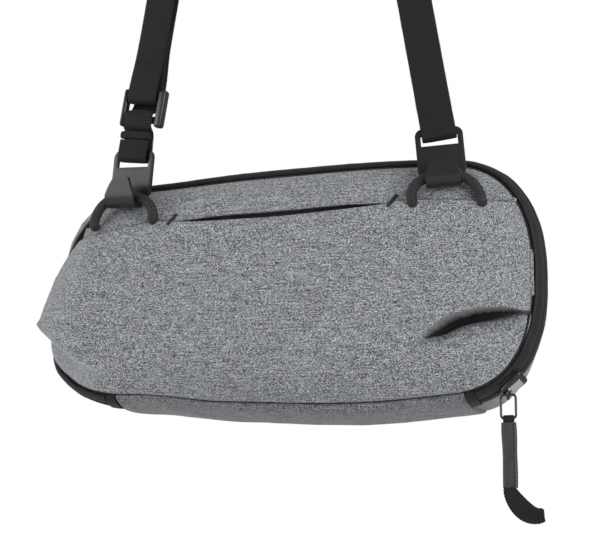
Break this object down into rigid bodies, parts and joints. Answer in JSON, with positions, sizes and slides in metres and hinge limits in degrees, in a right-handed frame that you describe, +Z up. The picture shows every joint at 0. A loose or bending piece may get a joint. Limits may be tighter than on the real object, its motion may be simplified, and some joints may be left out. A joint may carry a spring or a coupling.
{
  "type": "camera sling bag",
  "caption": "Small padded camera sling bag in heathered grey fabric with a black clamshell zip band, corded side loops, flat metal strap hooks and an adjustable webbing strap.",
  "frame": {"origin": "the underside of the strap's top bend, where a shoulder, peg or wall hook carries it", "axes": "+Z up, the bag hanging below; -Y the bag's front; +X towards the end with the zip slider"},
  "size_m": [0.235, 0.0899, 0.5552],
  "materials": {
    "heather": "heathered grey woven polyester with a fine coated face",
    "band": "black coated zip band, satin",
    "webbing": "black woven nylon webbing, dull",
    "cord": "black braided cord, dull",
    "hook": "black powder-coated aluminium, satin",
    "moulding": "black acetal moulding, satin",
    "lining": "light grey brushed lining over foam",
    "mesh": "dark grey stretch fabric",
    "back": "black ripstop back fabric",
    "metal": "gloss black plated zinc",
    "leather": "dark grey microfibre leather"
  },
  "bodies": {
    "strap": {"strap_web": "webbing", "strap_tail": "webbing", "web_keeper": "webbing", "strap_adjuster": "moulding"},
    "right_hook": {"right_hook": "hook"},
    "left_hook": {"left_hook": "hook"},
    "bag_front": {"pocket_panel": "heather", "yoke_panel": "heather", "front_liner": "lining", "inner_pocket": "mesh", "front_zip_tape": "band", "left_loop": "cord", "right_loop": "cord", "left_loop_patch": "lining", "right_loop_patch": "lining", "left_bartack": "cord", "right_bartack": "cord"},
    "bag_back": {"back_zip_tape": "band", "side_gusset": "heather", "bottom_gusset": "heather", "right_zip_tab": "band", "left_zip_tab": "band", "shell_padding": "lining", "back_padding": "lining", "back_panel": "back", "back_sleeve": "back"},
    "right_divider": {"right_divider": "lining"},
    "left_divider": {"left_divider": "lining"},
    "zip_slider": {"slider_body": "metal"},
    "pull_ring": {"pull_ring": "metal"},
    "puller": {"puller_loop": "webbing", "puller_sleeve": "leather", "puller_tail": "webbing"}
  },
  "joints": [
    {"name": "right_hook_swing", "type": "hinge", "parent": "strap", "child": "right_hook", "pos_m": [0.07215, 0, -0.37442], "axis": [1, 0, 0], "range_deg": [-5, 5]},
    {"name": "left_hook_swing", "type": "hinge", "parent": "strap", "child": "left_hook", "pos_m": [-0.07215, 0, -0.37442], "axis": [1, 0, 0], "range_deg": [-5, 5]},
    {"name": "bag_swing", "type": "hinge", "parent": "right_hook", "child": "bag_front", "pos_m": [0.074, -0.0046, -0.39554], "axis": [-1, 0, 0], "range_deg": [-6, 26]},
    {"name": "main_zip_open", "type": "hinge", "parent": "bag_front", "child": "bag_back", "pos_m": [0, 0.0069, -0.49064], "axis": [-1, 0, 0], "range_deg": [0, 75]},
    {"name": "right_divider_slide", "type": "slide", "parent": "bag_back", "child": "right_divider", "axis": [1, 0, 0], "range_m": [-0.02, 0.02]},
    {"name": "left_divider_slide", "type": "slide", "parent": "bag_back", "child": "left_divider", "axis": [1, 0, 0], "range_m": [-0.02, 0.02]},
    {"name": "zip_travel", "type": "hinge", "parent": "bag_back", "child": "zip_slider", "pos_m": [0.07018, 0.01455, -0.44975], "axis": [0, -1, 0], "range_deg": [0, 50]},
    {"name": "ring_swing", "type": "hinge", "parent": "zip_slider", "child": "pull_ring", "pos_m": [0.09936, 0.01082, -0.4922], "axis": [-1, 0, 0], "range_deg": [-12, 60]},
    {"name": "puller_swing", "type": "hinge", "parent": "pull_ring", "child": "puller", "pos_m": [0.09936, 0.01082, -0.5027], "axis": [-1, 0, 0], "range_deg": [-35, 50]}
  ],
  "couplings": [
    {"joint": "left_hook_swing", "follows": "right_hook_swing", "ratio": 1}
  ]
}
